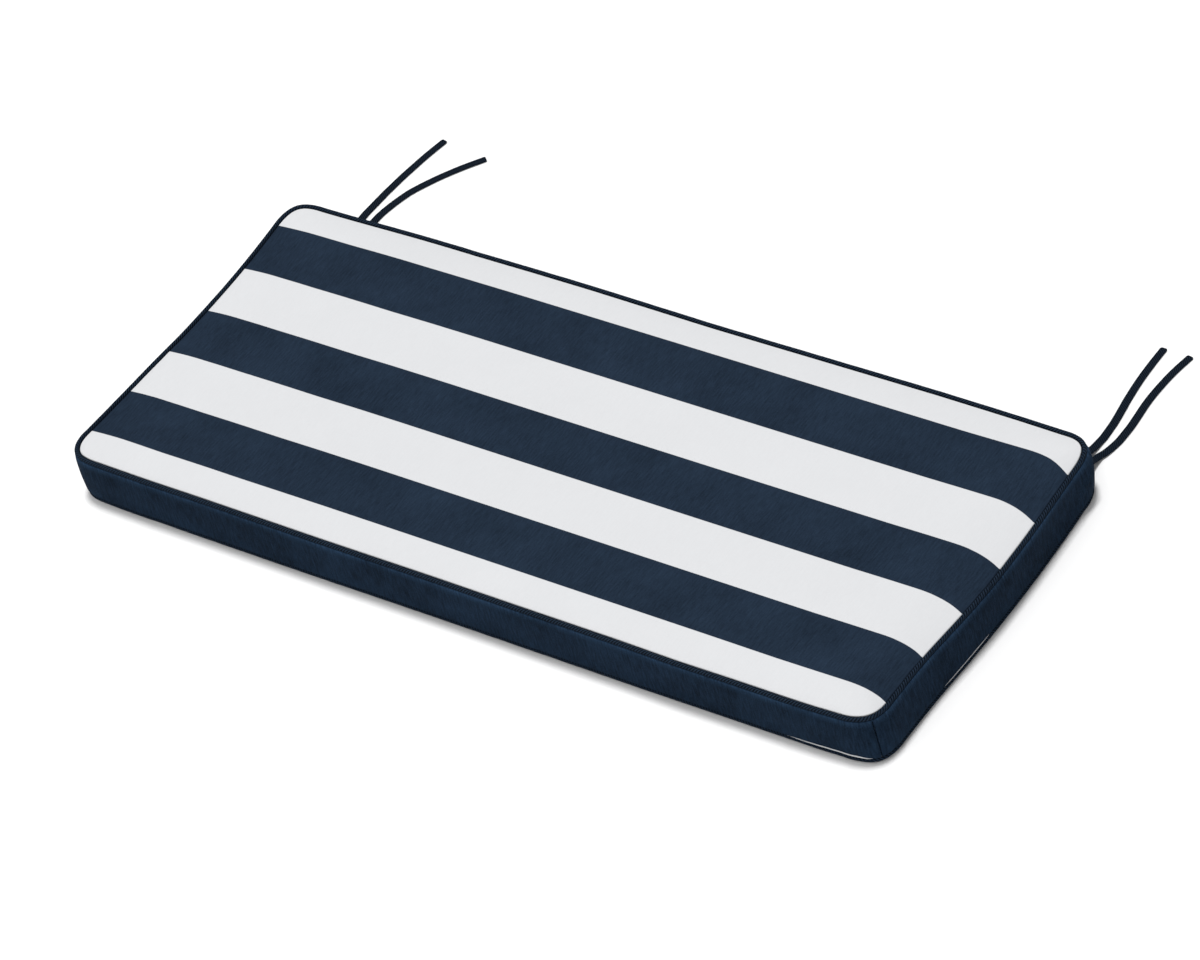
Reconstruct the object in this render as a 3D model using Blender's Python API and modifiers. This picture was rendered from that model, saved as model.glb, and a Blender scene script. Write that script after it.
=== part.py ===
"""A boxed bench cushion, lying on its back: a filled pad with a striped panel on top and one underneath,
a plain side strip in four lengths, piping in both seams and two pairs of tie tapes at the back.

The origin is on the ground under the middle of the cushion. +X runs along the long side, +Y to the back
and +Z up. Sizes are in metres.
"""

import math

import bmesh
import bpy
from mathutils import Vector

# The seam line, which is the middle of the piping, seen from above.
HALF_LENGTH = 0.5369
HALF_DEPTH = 0.2201
CORNER_RADIUS = 0.0388
LEFT_DRAW_IN = 0.0078
RIGHT_BOW_UPPER = 0.0066
RIGHT_BOW_LOWER = 0.0045
RIGHT_SAG = 0.0017
SAG_RUN = 0.12
FRONT_BOW_UPPER = -0.0007
FRONT_BOW_LOWER = 0.0007
BACK_BOW = 0.0007

# How far the sewing pulled each corner, along X and along Y: (x side, y side): (upper seam, lower seam).
CORNER_PULL = {
    (-1, -1): ((0.0, 0.0), (0.0, 0.0)),
    (1, -1): ((0.0012, -0.0010), (0.0, 0.0)),
    (1, 1): ((0.0006, -0.0006), (-0.0014, -0.0006)),
    (-1, 1): ((-0.0016, -0.0032), (0.0, -0.0015)),
}
PULL_RUN_X = 0.25
PULL_RUN_Y = 0.13

# The side, seen in section.
GAP = 0.0003
PIPING_RADIUS = 0.0030
LOWER_SEAM_Z = PIPING_RADIUS + GAP
UPPER_SEAM_Z = 0.0595
SEAM_INSET = PIPING_RADIUS + GAP
PANEL_ROLL = 0.0016
STRIP_THICKNESS = 0.0015
STRIP_CLEARANCE = 0.0005
STRIP_END = PIPING_RADIUS + 0.0007
STRIP_ROWS = 5
SIDE_BULGE = 0.0035
CORNER_FADE = 0.11

# How far the side strip swells out over each corner: (x side, y side): swell.
CORNER_BULGE = {
    (-1, -1): 0.0058,
    (1, -1): 0.0045,
    (1, 1): 0.0070,
    (-1, 1): 0.0050,
}

# The crown of the top panel: it rolls up beside the piping, and is nearly level in the middle.
CROWN = 0.0093
ROLL_HEIGHT = 0.0012
CROWN_RUN_X = 0.058
CROWN_RUN_Y = 0.042
CROWN_POWER_X = 2.0
CROWN_POWER_Y = 2.5
MIDDLE_DIP = 0.0015
RIM_LIFT = 0.0010

# Stripes run along X. The middle one is centred just in front of the cushion's middle.
STRIPE_PITCH = 0.0708
STRIPE_SHIFT = -0.003
STRIPE_EDGES = [STRIPE_SHIFT + (step - 2.5) * STRIPE_PITCH for step in range(6)]

# Where the pad's surface is divided, as distances in from the seam line and along Y.
CORNER_STEPS = 4
LENGTH_STEPS = [0.048, 0.060, 0.078, 0.105, 0.150, 0.225, 0.325, 0.430]
DEPTH_STEPS = [0.0, -0.070, 0.070, -0.140, 0.140]

# The tapes: width, thickness and the way each lies, from its root low on the back strip to its free end.
TAPE_WIDTH = 0.0100
TAPE_THICKNESS = 0.0018
TAPE_SPACING = 0.0075
TIP_LENGTH = 0.0015
TIP_SHARE = 0.72
TAPE_EDGE_CUT = 0.6
TAPE_REST_Z = TAPE_THICKNESS / 2 + 0.0002
ROUTE_STEPS = 20
TAPE_ROUTES = {
    "tie_left_outer": [
        (-0.4981, 0.2220, 0.0120),
        (-0.4981, 0.2255, 0.0120),
        (-0.4984, 0.2295, 0.0117),
        (-0.4996, 0.2370, 0.0090),
        (-0.5011, 0.2450, 0.0052),
        (-0.5026, 0.2535, 0.0024),
        (-0.5036, 0.2605, 0.0013),
        (-0.5039, 0.2668, TAPE_REST_Z),
        (-0.5059, 0.2781, TAPE_REST_Z),
        (-0.5055, 0.2884, TAPE_REST_Z),
        (-0.5052, 0.2980, TAPE_REST_Z),
        (-0.5048, 0.3074, TAPE_REST_Z),
        (-0.5044, 0.3169, TAPE_REST_Z),
        (-0.5036, 0.3267, TAPE_REST_Z),
        (-0.5022, 0.3441, TAPE_REST_Z),
        (-0.5001, 0.3615, TAPE_REST_Z),
        (-0.4965, 0.3870, TAPE_REST_Z),
        (-0.4915, 0.4129, TAPE_REST_Z),
    ],
    "tie_left_inner": [
        (-0.4839, 0.2221, 0.0120),
        (-0.4839, 0.2256, 0.0120),
        (-0.4842, 0.2295, 0.0117),
        (-0.4851, 0.2370, 0.0090),
        (-0.4861, 0.2450, 0.0052),
        (-0.4869, 0.2540, 0.0023),
        (-0.4874, 0.2615, 0.0013),
        (-0.4874, 0.2690, TAPE_REST_Z),
        (-0.4883, 0.2792, TAPE_REST_Z),
        (-0.4873, 0.2879, TAPE_REST_Z),
        (-0.4852, 0.2989, TAPE_REST_Z),
        (-0.4827, 0.3093, TAPE_REST_Z),
        (-0.4798, 0.3191, TAPE_REST_Z),
        (-0.4763, 0.3287, TAPE_REST_Z),
        (-0.4673, 0.3459, TAPE_REST_Z),
        (-0.4571, 0.3628, TAPE_REST_Z),
        (-0.4426, 0.3835, TAPE_REST_Z),
        (-0.4258, 0.4043, TAPE_REST_Z),
    ],
    "tie_right_inner": [
        (0.4949, 0.2240, 0.0130),
        (0.4950, 0.2282, 0.0130),
        (0.4952, 0.2355, 0.0117),
        (0.4955, 0.2440, 0.0092),
        (0.4959, 0.2510, 0.0075),
        (0.4962, 0.2567, 0.0064),
        (0.4962, 0.2641, 0.0054),
        (0.4963, 0.2736, 0.0045),
        (0.4954, 0.2840, 0.0036),
        (0.4942, 0.2960, 0.0027),
        (0.4922, 0.3088, 0.0020),
        (0.4900, 0.3219, 0.0014),
        (0.4877, 0.3356, TAPE_REST_Z),
        (0.4847, 0.3637, TAPE_REST_Z),
        (0.4835, 0.3904, TAPE_REST_Z),
        (0.4834, 0.4158, TAPE_REST_Z),
    ],
    "tie_right_outer": [
        (0.5062, 0.2223, 0.0125),
        (0.5074, 0.2263, 0.0125),
        (0.5075, 0.2330, 0.0104),
        (0.5077, 0.2395, 0.0080),
        (0.5082, 0.2458, 0.0064),
        (0.5104, 0.2518, 0.0056),
        (0.5119, 0.2597, 0.0046),
        (0.5128, 0.2677, 0.0036),
        (0.5137, 0.2773, 0.0027),
        (0.5134, 0.2887, 0.0019),
        (0.5130, 0.3005, 0.0013),
        (0.5120, 0.3135, TAPE_REST_Z),
        (0.5098, 0.3415, TAPE_REST_Z),
        (0.5104, 0.3678, TAPE_REST_Z),
        (0.5126, 0.3910, TAPE_REST_Z),
        (0.5169, 0.4151, TAPE_REST_Z),
    ],
}

# Colours, as red, green and blue out of 255.
WHITE = (232, 233, 235)
STRIPE_NAVY = (39, 52, 68)
STRIP_NAVY = (29, 41, 57)
PIPING_NAVY = (18, 26, 36)
CLOTH_ROUGHNESS = 0.85
TRIM_ROUGHNESS = 0.8
CLOTH_SHEEN = 0.2
SHARP_ANGLE = math.radians(40)


def linear(level):
    """Turn one 0 to 255 level of a screen colour into the linear value that a shader takes."""
    share = level / 255
    return share / 12.92 if share <= 0.04045 else ((share + 0.055) / 1.055) ** 2.4


def make_material(name, colour, roughness):
    material = bpy.data.materials.new(name)
    material.use_nodes = True
    shader = material.node_tree.nodes["Principled BSDF"]
    shader.inputs["Base Color"].default_value = (*(linear(level) for level in colour), 1)
    shader.inputs["Roughness"].default_value = roughness
    shader.inputs["Metallic"].default_value = 0
    shader.inputs["Sheen Weight"].default_value = CLOTH_SHEEN
    return material


def new_object(name, data, collection, *materials):
    for material in materials:
        data.materials.append(material)
    piece = bpy.data.objects.new(name, data)
    collection.objects.link(piece)
    return piece


def smooth(share):
    share = min(max(share, 0), 1)
    return share * share * (3 - 2 * share)


def side_signs(x, y):
    return (1 if x > 0 else -1, 1 if y > 0 else -1)


def sewn(x, y, z):
    """Move a point of the straight-sided cushion to where sewing and filling leave it."""
    height = smooth((z - LOWER_SEAM_Z - SEAM_INSET) / (UPPER_SEAM_Z - LOWER_SEAM_Z - 2 * SEAM_INSET))
    along_depth = max(1 - (y / HALF_DEPTH) ** 2, 0)
    along_length = max(1 - (x / HALF_LENGTH) ** 2, 0)
    right_bow = RIGHT_BOW_LOWER + (RIGHT_BOW_UPPER - RIGHT_BOW_LOWER) * height
    side_move = right_bow if x > 0 else LEFT_DRAW_IN
    front_bow = FRONT_BOW_LOWER + (FRONT_BOW_UPPER - FRONT_BOW_LOWER) * height
    long_bow = BACK_BOW if y > 0 else front_bow
    upper_pull, lower_pull = (Vector(pull) for pull in CORNER_PULL[side_signs(x, y)])
    near_end = smooth(1 - (HALF_LENGTH - abs(x)) / PULL_RUN_X)
    near_side = smooth(1 - (HALF_DEPTH - abs(y)) / PULL_RUN_Y)
    pull = lower_pull.lerp(upper_pull, height) * near_end * near_side
    x_moved = x + side_move * along_depth * abs(x) / HALF_LENGTH + pull.x
    y_moved = y * (1 + long_bow / HALF_DEPTH * along_length) + pull.y
    z_moved = z - RIGHT_SAG * height * along_depth * smooth(1 - (HALF_LENGTH - x) / SAG_RUN)
    return x_moved, y_moved, z_moved


def plan_point(u, v, inset):
    """Map u and v, each from -1 to 1, into the round-cornered plan that lies inset inside the seam line.

    Each square ring of the corner becomes a quarter circle, so the pieces' columns stay one above another.
    """
    x, y = abs(u) * (HALF_LENGTH - inset), abs(v) * (HALF_DEPTH - inset)
    across = x - (HALF_LENGTH - CORNER_RADIUS)
    down = y - (HALF_DEPTH - CORNER_RADIUS)
    if across > 0 and down > 0:
        stretch = max(across, down) / math.hypot(across, down)
        x += across * (stretch - 1)
        y += down * (stretch - 1)
    return math.copysign(x, u), math.copysign(y, v)


def bulge_at(u, v):
    """How far the side strip swells out at its middle height."""
    x, y = plan_point(u, v, 0)
    into_corner = min(
        abs(x) - (HALF_LENGTH - CORNER_RADIUS), abs(y) - (HALF_DEPTH - CORNER_RADIUS)
    )
    share = smooth(1 + into_corner / CORNER_FADE)
    corner = CORNER_BULGE[side_signs(x, y)]
    return SIDE_BULGE + share * (corner - SIDE_BULGE)


def side_section(share, bulge, depth):
    """Outward offset and height of the side at a share of its height, from -1 to 1, depth inside its middle."""
    middle_z = (UPPER_SEAM_Z + LOWER_SEAM_Z) / 2
    half_height = (UPPER_SEAM_Z - LOWER_SEAM_Z) / 2 - STRIP_END
    offset = bulge * (1 - share * share)
    slope = -2 * bulge * share / half_height
    length = math.hypot(1, slope)
    return offset - depth / length, middle_z + half_height * share + depth * slope / length


def strip_shares():
    return [-1 + 2 * row / STRIP_ROWS for row in range(STRIP_ROWS + 1)]


def rise(distance, run, power):
    """From 0 at the seam to 1 where the crown has its full height."""
    return 1 - (1 - min(max(distance / run, 0), 1)) ** power


def crown_z(x, y):
    """Height of the top panel over a point of the straight-sided plan."""
    rise_x = rise(HALF_LENGTH - abs(x), CROWN_RUN_X, CROWN_POWER_X)
    rise_y = rise(HALF_DEPTH - abs(y), CROWN_RUN_Y, CROWN_POWER_Y)
    dip = MIDDLE_DIP * (1 - (x / HALF_LENGTH) ** 2) * (1 - (y / HALF_DEPTH) ** 2)
    return UPPER_SEAM_Z + ROLL_HEIGHT + (CROWN - ROLL_HEIGHT - dip) * rise_x * rise_y


def length_cuts():
    corner = [CORNER_RADIUS * step / CORNER_STEPS for step in range(1, CORNER_STEPS + 1)]
    inner = [1 - distance / HALF_LENGTH for distance in corner + LENGTH_STEPS]
    return sorted([0.0] + inner + [-cut for cut in inner])


def depth_cuts():
    corner = [1 - CORNER_RADIUS * step / CORNER_STEPS / HALF_DEPTH for step in range(1, CORNER_STEPS + 1)]
    middle = [y / HALF_DEPTH for y in STRIPE_EDGES + DEPTH_STEPS]
    return sorted(corner + [-cut for cut in corner] + middle)


def stations():
    """The plan's (u, v) round the seam line, starting at the right side's middle and going to the back."""
    along = [-1.0] + length_cuts() + [1.0]
    up = [-1.0] + depth_cuts() + [1.0]
    ring = [(1.0, v) for v in up[:-1]]
    ring += [(u, 1.0) for u in reversed(along[1:])]
    ring += [(-1.0, v) for v in reversed(up[1:])]
    ring += [(u, -1.0) for u in along[:-1]]
    return ring


def plan_centre():
    """Middle of the side strip's reach along X and along Y, which is put over the origin."""
    reach = []
    for u, v in stations():
        for share in strip_shares():
            offset, z = side_section(share, bulge_at(u, v), -STRIP_THICKNESS / 2)
            reach.append(sewn(*plan_point(u, v, -offset), z))
    xs = [point[0] for point in reach]
    ys = [point[1] for point in reach]
    return (min(xs) + max(xs)) / 2, (min(ys) + max(ys)) / 2


CENTRE_X, CENTRE_Y = plan_centre()


def placed(x, y, z):
    return Vector(sewn(x, y, z)) - Vector((CENTRE_X, CENTRE_Y, 0))


def pad_levels(bulge):
    """Offset and height of each level of the pad's side, from its lower rim to the top panel, whose height varies."""
    levels = [(-SEAM_INSET, RIM_LIFT), (-SEAM_INSET, LOWER_SEAM_Z + SEAM_INSET)]
    depth = STRIP_THICKNESS / 2 + STRIP_CLEARANCE
    levels += [side_section(share, bulge, depth) for share in strip_shares()]
    levels += [(-SEAM_INSET, UPPER_SEAM_Z - SEAM_INSET), (-SEAM_INSET, UPPER_SEAM_Z + ROLL_HEIGHT)]
    levels += [(-SEAM_INSET - PANEL_ROLL, None)]
    return levels


def make_pad(collection, white, navy):
    """One filled solid: a cube cut into levels and columns, and shaped to the panels and the side."""
    mesh = bmesh.new()
    bmesh.ops.create_cube(mesh, size=2)
    level_count = len(pad_levels(0)) - 1
    cuts = [((cut, 0, 0), (1, 0, 0)) for cut in length_cuts()]
    cuts += [((0, cut, 0), (0, 1, 0)) for cut in depth_cuts()]
    cuts += [((0, 0, -1 + 2 * level / level_count), (0, 0, 1)) for level in range(1, level_count)]
    for point, normal in cuts:
        geometry = mesh.verts[:] + mesh.edges[:] + mesh.faces[:]
        bmesh.ops.bisect_plane(mesh, geom=geometry, dist=1e-7, plane_co=point, plane_no=normal)
    for vertex in mesh.verts:
        u, v, w = vertex.co
        level = round((w + 1) / 2 * level_count)
        offset, z = pad_levels(bulge_at(u, v))[level]
        x, y = plan_point(u, v, -offset)
        if level == level_count:
            z = crown_z(x, y)
        elif level == 0 and max(abs(u), abs(v)) < 1:
            z = 0
        vertex.co = placed(x, y, z)
    for face in mesh.faces:
        face.smooth = True
        middle_y = face.calc_center_median().y + CENTRE_Y
        face.material_index = sum(edge < middle_y for edge in STRIPE_EDGES) % 2
    data = bpy.data.meshes.new("cushion_pad")
    mesh.to_mesh(data)
    mesh.free()
    data.set_sharp_from_angle(angle=SHARP_ANGLE)
    return new_object("cushion_pad", data, collection, white, navy)


def make_strip(name, first, last, ring, collection, material):
    """A length of the side strip between two of the plan's stations, as a curved sheet with its thickness."""
    columns = [ring[index % len(ring)] for index in range(first, last + 1)]
    mesh = bmesh.new()
    bmesh.ops.create_grid(mesh, x_segments=len(columns) - 1, y_segments=STRIP_ROWS, size=1)
    shares = strip_shares()

    def strip_point(column, row):
        u, v = columns[column]
        offset, z = side_section(shares[row], bulge_at(u, v), 0)
        x, y = plan_point(u, v, -offset)
        return placed(x, y, z)

    for vertex in mesh.verts:
        column = round((vertex.co.x + 1) / 2 * (len(columns) - 1))
        row = round((vertex.co.y + 1) / 2 * STRIP_ROWS)
        point = strip_point(column, row)
        if column in (0, len(columns) - 1):
            inward = strip_point(column + (1 if column == 0 else -1), row) - point
            point += inward.normalized() * GAP / 2
        vertex.co = point
    for face in mesh.faces:
        face.smooth = True
    bmesh.ops.recalc_face_normals(mesh, faces=mesh.faces[:])
    data = bpy.data.meshes.new(name)
    mesh.to_mesh(data)
    mesh.free()
    strip = new_object(name, data, collection, material)
    thickness = strip.modifiers.new("thickness", "SOLIDIFY")
    thickness.thickness = STRIP_THICKNESS
    thickness.offset = 0
    return strip


def make_side_strips(collection, material):
    """Four lengths, seamed a little off the middle of each corner, nearer to the short side."""
    ring = stations()
    seam_v = 1 - CORNER_RADIUS / CORNER_STEPS / HALF_DEPTH

    def seam_station(u, v):
        return min(range(len(ring)), key=lambda i: abs(ring[i][0] - u) + abs(ring[i][1] - v))

    right_front, right_back = seam_station(1, -seam_v), seam_station(1, seam_v)
    left_front, left_back = seam_station(-1, -seam_v), seam_station(-1, seam_v)
    lengths = {
        "boxing_right": (right_front, right_back),
        "boxing_back": (right_back, left_back),
        "boxing_left": (left_back, left_front),
        "boxing_front": (left_front, right_front + len(ring)),
    }
    for name, (first, last) in lengths.items():
        make_strip(name, first, last, ring, collection, material)


def tube_curve(name, points, cyclic):
    curve = bpy.data.curves.new(name, "CURVE")
    curve.dimensions = "3D"
    curve.use_fill_caps = not cyclic
    spline = curve.splines.new("POLY")
    spline.points.add(len(points) - 1)
    for spline_point, point in zip(spline.points, points):
        spline_point.co = (*point, 1)
    spline.use_cyclic_u = cyclic
    return curve


def make_piping(name, seam_z, collection, material):
    points = [placed(*plan_point(u, v, 0), seam_z) for u, v in stations()]
    curve = tube_curve(name, points, cyclic=True)
    curve.bevel_depth = PIPING_RADIUS
    curve.bevel_resolution = 2
    new_object(name, curve, collection, material)


def through(points, spacing):
    """Points at an even spacing along a smooth curve through the given points."""
    knots = [Vector(point) for point in points]
    knots = [2 * knots[0] - knots[1], *knots, 2 * knots[-1] - knots[-2]]
    fine = []
    for before, start, end, after in zip(knots, knots[1:], knots[2:], knots[3:]):
        for step in range(ROUTE_STEPS):
            t = step / ROUTE_STEPS
            slope_term = (end - before) * t
            square_term = (2 * before - 5 * start + 4 * end - after) * t * t
            cube_term = (3 * start - before - 3 * end + after) * t**3
            fine.append(start + (slope_term + square_term + cube_term) / 2)
    fine.append(knots[-2])
    total = sum((b - a).length for a, b in zip(fine, fine[1:]))
    count = round(total / spacing)
    placed_points, travelled, target = [fine[0]], 0, 1
    for a, b in zip(fine, fine[1:]):
        step_length = (b - a).length
        while target < count and travelled + step_length >= target * total / count:
            placed_points.append(a.lerp(b, (target * total / count - travelled) / step_length))
            target += 1
        travelled += step_length
    return placed_points + [fine[-1]]


def make_tape_section(collection):
    """The tape's section, a flat bar with its corners cut, which the tapes' curves are given."""
    half_width, half_thickness = TAPE_WIDTH / 2, TAPE_THICKNESS / 2
    cut = half_thickness * TAPE_EDGE_CUT
    quarter = [(half_width, half_thickness - cut), (half_width - cut, half_thickness)]
    corners = quarter + [(-x, y) for x, y in reversed(quarter)]
    corners += [(-x, -y) for x, y in corners]
    section = tube_curve("tape_section", [(x, y, 0) for x, y in reversed(corners)], cyclic=True)
    section.dimensions = "2D"
    guide = new_object("tape_section", section, collection)
    guide.hide_render = True
    guide.display_type = "WIRE"
    return guide


def make_tape(name, route, section, collection, material):
    points = through(route, TAPE_SPACING)
    for point in points:
        point.z = max(point.z, TAPE_REST_Z)
    tip = points[-1] + (points[-1] - points[-2]).normalized() * TIP_LENGTH
    curve = tube_curve(name, points + [tip], cyclic=False)
    curve.twist_mode = "Z_UP"
    curve.bevel_mode = "OBJECT"
    curve.bevel_object = section
    curve.splines[0].points[-1].radius = TIP_SHARE
    new_object(name, curve, collection, material)


def main():
    for old in list(bpy.data.objects):
        bpy.data.objects.remove(old)
    cushion = bpy.data.collections.new("bench_cushion")
    guides = bpy.data.collections.new("guides")
    for collection in (cushion, guides):
        bpy.context.scene.collection.children.link(collection)
    white = make_material("white_stripe", WHITE, CLOTH_ROUGHNESS)
    navy = make_material("navy_stripe", STRIPE_NAVY, CLOTH_ROUGHNESS)
    side = make_material("navy_side", STRIP_NAVY, CLOTH_ROUGHNESS)
    trim = make_material("navy_trim", PIPING_NAVY, TRIM_ROUGHNESS)
    make_pad(cushion, white, navy)
    make_side_strips(cushion, side)
    make_piping("piping_top", UPPER_SEAM_Z, cushion, trim)
    make_piping("piping_bottom", LOWER_SEAM_Z, cushion, trim)
    section = make_tape_section(guides)
    for name, route in TAPE_ROUTES.items():
        make_tape(name, route, section, cushion, trim)


main()
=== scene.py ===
import math

import bpy
import numpy as np
from mathutils import Matrix, Vector


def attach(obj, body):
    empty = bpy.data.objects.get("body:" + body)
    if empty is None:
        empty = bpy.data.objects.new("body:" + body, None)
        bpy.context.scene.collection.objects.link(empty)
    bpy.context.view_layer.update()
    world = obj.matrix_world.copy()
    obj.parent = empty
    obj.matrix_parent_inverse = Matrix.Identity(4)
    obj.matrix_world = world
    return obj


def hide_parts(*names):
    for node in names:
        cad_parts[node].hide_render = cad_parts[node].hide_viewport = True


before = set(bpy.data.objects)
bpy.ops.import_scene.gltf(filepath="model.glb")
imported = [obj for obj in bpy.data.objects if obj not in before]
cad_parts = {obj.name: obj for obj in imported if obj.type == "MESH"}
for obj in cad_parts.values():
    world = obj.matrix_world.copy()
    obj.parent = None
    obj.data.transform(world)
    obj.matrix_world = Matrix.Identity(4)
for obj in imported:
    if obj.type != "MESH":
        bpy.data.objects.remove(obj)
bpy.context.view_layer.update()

MM = 0.001

# The sewn form, with the same values as the solids.
HALF_LENGTH = 0.5369
HALF_DEPTH = 0.2201
CORNER_RADIUS = 0.0388
LEFT_DRAW_IN = 0.0078
RIGHT_BOW_UPPER = 0.0066
RIGHT_BOW_LOWER = 0.0045
RIGHT_SAG = 0.0017
SAG_RUN = 0.12
FRONT_BOW_UPPER = -0.0007
FRONT_BOW_LOWER = 0.0007
BACK_BOW = 0.0007
PULL_RUN_X = 0.25
PULL_RUN_Y = 0.13
CORNER_PULL = {
    (-1, -1): ((0.0, 0.0), (0.0, 0.0)),
    (1, -1): ((0.0012, -0.0010), (0.0, 0.0)),
    (1, 1): ((0.0006, -0.0006), (-0.0014, -0.0006)),
    (-1, 1): ((-0.0016, -0.0032), (0.0, -0.0015)),
}
GAP = 0.0003
CORD_RADIUS = 0.0030
SEAM_INSET = CORD_RADIUS + GAP
LOWER_SEAM_Z = SEAM_INSET
UPPER_SEAM_Z = 0.0595
CENTRE = np.array([0.0030506, 0.0003230, 0.0])
SEAM_ANGLE = math.atan(0.75)

# The crown of the top panel. The four numbers are for the left, right, front and back edges.
CROWN = 0.0093
MIDDLE_DIP = 0.0015
EDGE_RISE = np.array([0.0019, 0.0017, 0.0026, 0.0026])
EDGE_INSET = np.array([0.0031, 0.0037, 0.0037, 0.0039])
CROWN_RUN = [0.150, 0.038, 0.042, 0.042]
CROWN_POWER = [1.7, 2.0, 2.5, 2.5]
CROWN_START = 0.004
EDGE_BLEND = 0.02
# How far the filling pushes the cover up, how far from the edges it does so fully, and for how many frames.
FILL_RISE, FILL_RUN, FILL_FRAMES = 0.0020, 0.06, 20

# Stripes: the places of the colour changes across the panel, from front to back.
STRIPE_EDGES = [-0.1782, -0.1091, -0.0399, 0.0306, 0.1021, 0.1765]
# Towards the ends the stripes wander, in millimetres: distance from the end's seam, how far they all move
# to the front, and how far the outermost are gathered to the middle (right) or spread to the front (left).
RIGHT_WANDER = np.array([
    (4, 6.4, 3.8), (9, 4.4, 3.4), (12, 3.4, 3.1), (16, 2.2, 2.5), (20, 1.2, 1.9), (26, 0.2, 1.3),
    (31, -0.65, 0.8), (45, -1.6, 0.2), (58, -1.5, 0), (72, -1.1, 0), (92, -0.7, 0), (110, -0.4, 0),
    (140, 0, 0),
]) * MM
LEFT_WANDER = np.array([
    (4, 0, -2.6), (45, 0, -2.6), (70, 0.5, -1.8), (85, 0.9, -1.5), (112, 1.6, -1.2), (139, 1.7, -1.2),
    (180, 1.45, -1.2), (220, 1.3, -0.8), (274, 0.4, 0), (340, 0, 0),
]) * MM


def smooth(t):
    """From 0 to 1 along an S-shaped curve."""
    t = np.clip(t, 0, 1)
    return t * t * (3 - 2 * t)


def sewn(x, y, z):
    """Straight-sided coordinates to where sewing and filling leave the cloth, in the row's frame."""
    x, y, z = np.broadcast_arrays(np.asarray(x, float), np.asarray(y, float), np.asarray(z, float))
    height = smooth((z - LOWER_SEAM_Z - SEAM_INSET) / (UPPER_SEAM_Z - LOWER_SEAM_Z - 2 * SEAM_INSET))
    along_depth = np.maximum(1 - (y / HALF_DEPTH) ** 2, 0)
    along_length = np.maximum(1 - (x / HALF_LENGTH) ** 2, 0)
    right_bow = RIGHT_BOW_LOWER + (RIGHT_BOW_UPPER - RIGHT_BOW_LOWER) * height
    side_move = np.where(x > 0, right_bow, LEFT_DRAW_IN)
    near = smooth(1 - (HALF_LENGTH - abs(x)) / PULL_RUN_X) * smooth(1 - (HALF_DEPTH - abs(y)) / PULL_RUN_Y)
    pull = np.zeros((2,) + x.shape)
    for (side_x, side_y), (upper, lower) in CORNER_PULL.items():
        here = ((x > 0) == (side_x > 0)) & ((y > 0) == (side_y > 0))
        for axis in range(2):
            pull[axis] += np.where(here, (lower[axis] + (upper[axis] - lower[axis]) * height) * near, 0)
    x_moved = x + side_move * along_depth * abs(x) / HALF_LENGTH + pull[0]
    front_bow = FRONT_BOW_LOWER + (FRONT_BOW_UPPER - FRONT_BOW_LOWER) * height
    y_moved = y * (1 + np.where(y > 0, BACK_BOW, front_bow) / HALF_DEPTH * along_length) + pull[1]
    z_moved = z - RIGHT_SAG * height * along_depth * smooth(1 - (HALF_LENGTH - x) / SAG_RUN)
    uneven = outline_move(x, y, height)
    return np.stack([x_moved + uneven[0], y_moved + uneven[1], z_moved], -1) - CENTRE


# The seam line as arc length: knots of the inner rectangle's point and the angle of the outward normal.
INNER_X, INNER_Y = HALF_LENGTH - CORNER_RADIUS, HALF_DEPTH - CORNER_RADIUS
QUARTER = math.pi / 2 * CORNER_RADIUS
KNOT_T = np.cumsum([0, INNER_Y, QUARTER, 2 * INNER_X, QUARTER, 2 * INNER_Y, QUARTER, 2 * INNER_X, QUARTER,
                    INNER_Y])
KNOT_X = np.array([1, 1, 1, -1, -1, -1, -1, 1, 1, 1]) * INNER_X
KNOT_Y = np.array([0, 1, 1, 1, 1, -1, -1, -1, -1, 0]) * INNER_Y
KNOT_A = np.array([0, 0, 90, 90, 180, 180, 270, 270, 360, 360]) * math.pi / 180
PERIMETER = KNOT_T[-1]

# What is left of the outline's unevenness along each seam: metres along it, millimetres outward.
UPPER_OUTLINE = [
    (0.0, 1.3), (0.03, 1.1), (0.07, 0.7), (0.10, 0.0), (0.14, -1.3), (0.18, -2.4), (0.19, -1.8),
    (0.20, 0.2), (0.21, 2.4), (0.22, 2.2), (0.23, 0.3), (0.24, -1.0), (0.26, -0.6), (0.30, 0.0),
    (0.40, 0.3), (0.54, -0.7), (0.62, -1.3), (0.70, -1.7), (0.78, -0.8), (0.86, 0.1), (0.94, 0.0),
    (1.02, -0.7), (1.10, -0.3), (1.18, -0.7), (1.24, -0.6), (1.25, 0.8), (1.26, 3.6), (1.27, 6.2),
    (1.28, 4.3), (1.29, 2.0), (1.30, 1.5), (1.33, 0.6), (1.36, -0.2), (1.40, -1.1), (1.44, -1.4),
    (1.48, -1.3), (1.50, -0.9), (1.52, 0.1), (1.56, 1.0), (1.60, 0.8), (1.64, 0.5), (1.66, 0.2),
    (1.68, 1.5), (1.69, 1.9), (1.70, 0.8), (1.71, -1.9), (1.72, -2.5), (1.75, -2.0), (1.80, -1.3),
    (1.88, -1.4), (1.96, -1.0), (2.04, -0.6), (2.20, -1.0), (2.30, -0.6), (2.44, -0.5), (2.52, 0.5),
    (2.60, -0.8), (2.66, -1.3), (2.69, -2.1), (2.71, -3.3), (2.72, -3.9), (2.73, -3.2), (2.74, -1.5),
    (2.75, 0.2), (2.76, 0.5), (2.77, -1.1), (2.78, -1.8), (2.80, -3.0), (2.83, -4.1), (2.86, -3.7),
    (2.90, -1.5), (2.93, 0.2),
]
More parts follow.
